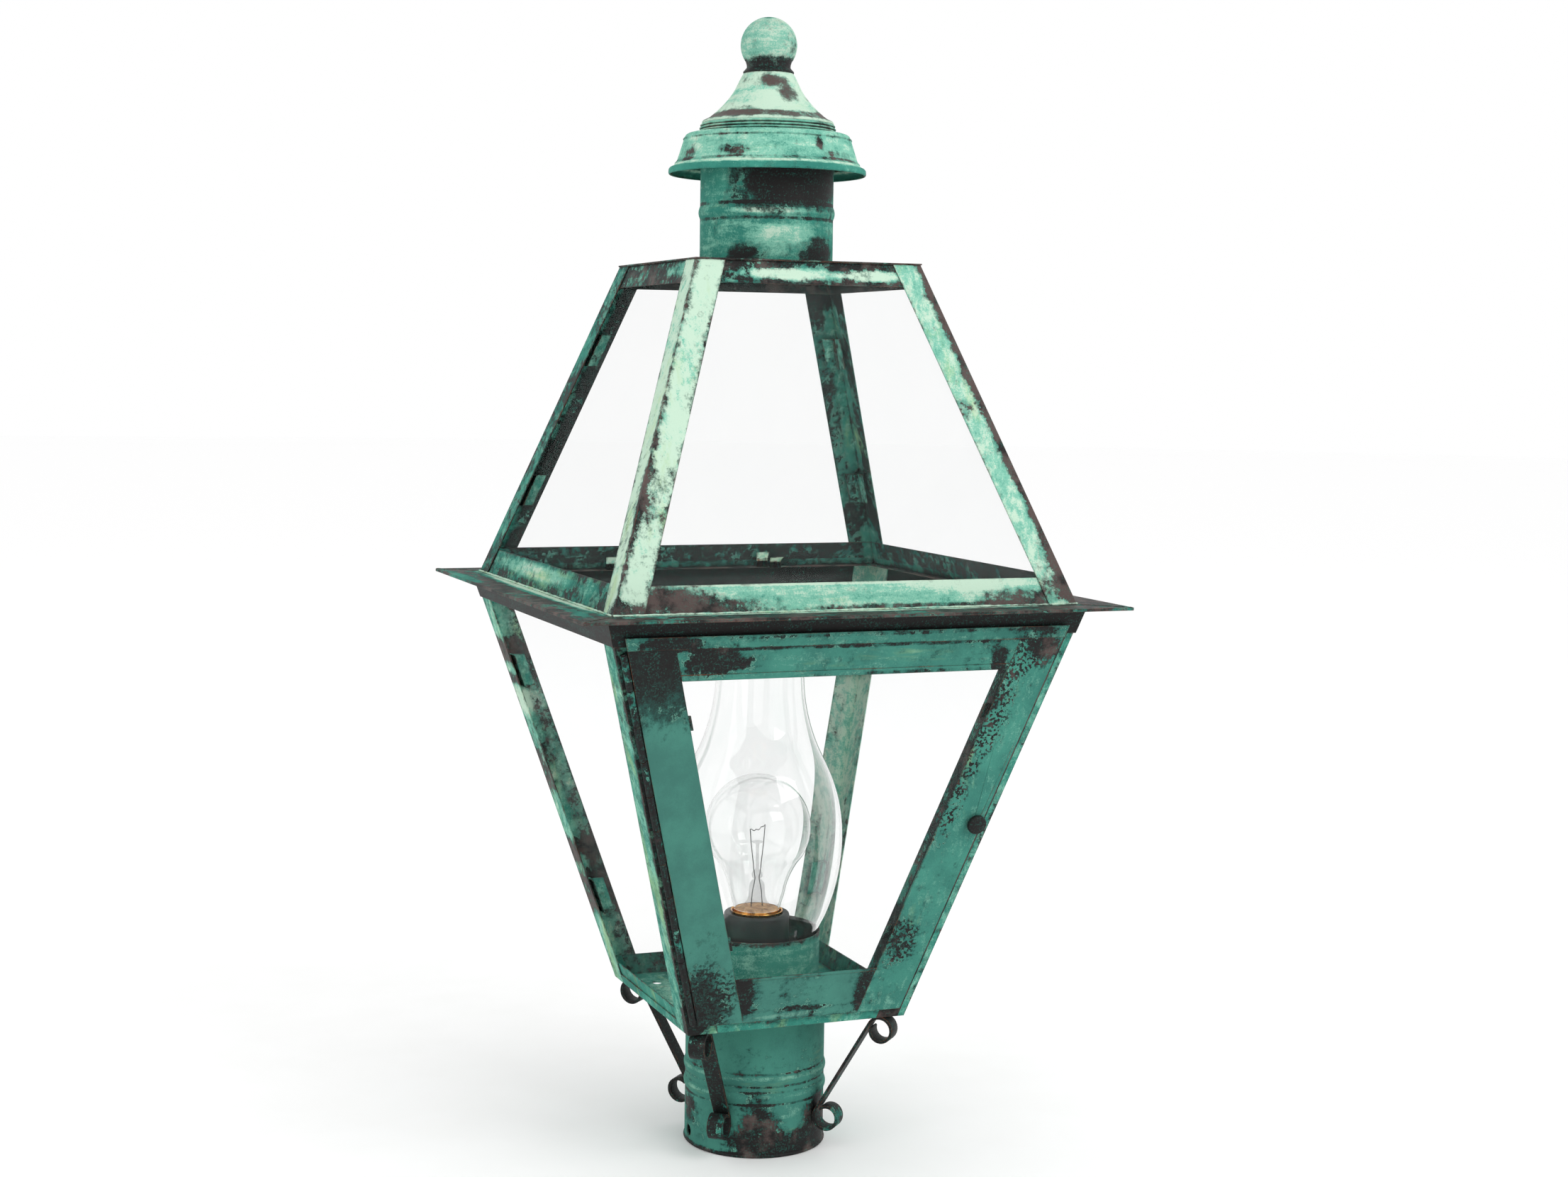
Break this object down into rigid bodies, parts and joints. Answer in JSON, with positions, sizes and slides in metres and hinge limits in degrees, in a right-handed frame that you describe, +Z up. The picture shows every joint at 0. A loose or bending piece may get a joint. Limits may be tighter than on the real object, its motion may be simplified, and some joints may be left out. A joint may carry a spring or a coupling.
{
  "type": "post lantern",
  "caption": "Square tapered copper post lantern with hinged glazed door, glass chimney, bulb, vented hood and round post sleeve.",
  "frame": {"origin": "centre of the post sleeve's bottom rim, on the post's axis", "axes": "+Z up along the post's axis, -Y out of the door's face, +X to the right when the door is faced"},
  "size_m": [0.3, 0.3, 0.6277],
  "materials": {
    "verdigris_copper": "weathered sheet copper with green verdigris and dark brown patches",
    "dark_copper": "almost black patina on copper strap",
    "clear_glass": "clear, polished",
    "phenolic": "black moulded phenolic",
    "lamp_brass": "plain pressed brass",
    "steel": "drawn wire and plain turned steel"
  },
  "bodies": {
    "lantern": {"burner_cup": "verdigris_copper", "cap_bell": "verdigris_copper", "corner_bar_back_left": "verdigris_copper", "corner_bar_back_right": "verdigris_copper", "corner_bar_front_left": "verdigris_copper", "corner_bar_front_right": "verdigris_copper", "crown_band": "verdigris_copper", "crown_plate": "verdigris_copper", "eave_flange": "verdigris_copper", "eave_skirt": "verdigris_copper", "finial_ball": "verdigris_copper", "finial_bolt": "steel", "glass_clips": "verdigris_copper", "hinge_frame_leaf": "verdigris_copper", "hinge_pin": "steel", "hood_straps": "verdigris_copper", "lock_nuts": "lamp_brass", "nipple": "lamp_brass", "post_sleeve": "verdigris_copper", "roof_bar_back_left": "verdigris_copper", "roof_bar_back_right": "verdigris_copper", "roof_bar_front_left": "verdigris_copper", "roof_bar_front_right": "verdigris_copper", "roof_pane_back": "clear_glass", "roof_pane_front": "clear_glass", "roof_pane_left": "clear_glass", "roof_pane_right": "clear_glass", "roof_rail_back": "verdigris_copper", "roof_rail_front": "verdigris_copper", "roof_rail_left": "verdigris_copper", "roof_rail_right": "verdigris_copper", "scroll_bracket_back_left": "dark_copper", "scroll_bracket_back_right": "dark_copper", "scroll_bracket_front_left": "dark_copper", "scroll_bracket_front_right": "dark_copper", "side_pane_back": "clear_glass", "side_pane_left": "clear_glass", "side_pane_right": "clear_glass", "socket_contact": "lamp_brass", "socket_housing": "phenolic", "socket_plate": "phenolic", "socket_shell": "lamp_brass", "tray": "verdigris_copper", "vent_collar": "verdigris_copper", "vent_hood": "verdigris_copper"},
    "door": {"door_stile_left": "verdigris_copper", "door_stile_right": "verdigris_copper", "door_top_rail": "verdigris_copper", "door_bottom_rail": "verdigris_copper", "door_pane": "clear_glass", "door_glass_clips": "verdigris_copper", "hinge_door_leaf": "verdigris_copper"},
    "latch": {"latch_knob": "dark_copper", "latch_tongue": "dark_copper"},
    "chimney_glass": {"chimney": "clear_glass"},
    "bulb_button": {"bulb_contact": "lamp_brass"},
    "bulb": {"bulb_glass": "clear_glass", "bulb_base": "lamp_brass", "bulb_stem": "clear_glass", "bulb_filament": "steel"}
  },
  "joints": [
    {"name": "door_hinge", "type": "hinge", "parent": "lantern", "child": "door", "pos_m": [-0.0596, -0.065, 0.0803], "axis": [0.2738, 0.2738, -0.922], "range_deg": [0, 110]},
    {"name": "knob_turn", "type": "hinge", "parent": "door", "child": "latch", "pos_m": [0.0853, -0.09667, 0.194], "axis": [0, -0.9586, -0.2847], "range_deg": [0, 90]},
    {"name": "chimney_lift", "type": "slide", "parent": "lantern", "child": "chimney_glass", "axis": [0, 0, 1], "range_m": [0, 0.11]},
    {"name": "bulb_rise", "type": "slide", "parent": "lantern", "child": "bulb_button", "axis": [0, 0, 1], "range_m": [0, 0.01816]},
    {"name": "bulb_turn", "type": "hinge", "parent": "bulb_button", "child": "bulb", "pos_m": [0, 0, 0.12], "axis": [0, 0, 1], "range_deg": [0, 1800]}
  ],
  "couplings": [
    {"joint": "bulb_rise", "follows": "bulb_turn", "m_per_rad": 0.00057773}
  ]
}
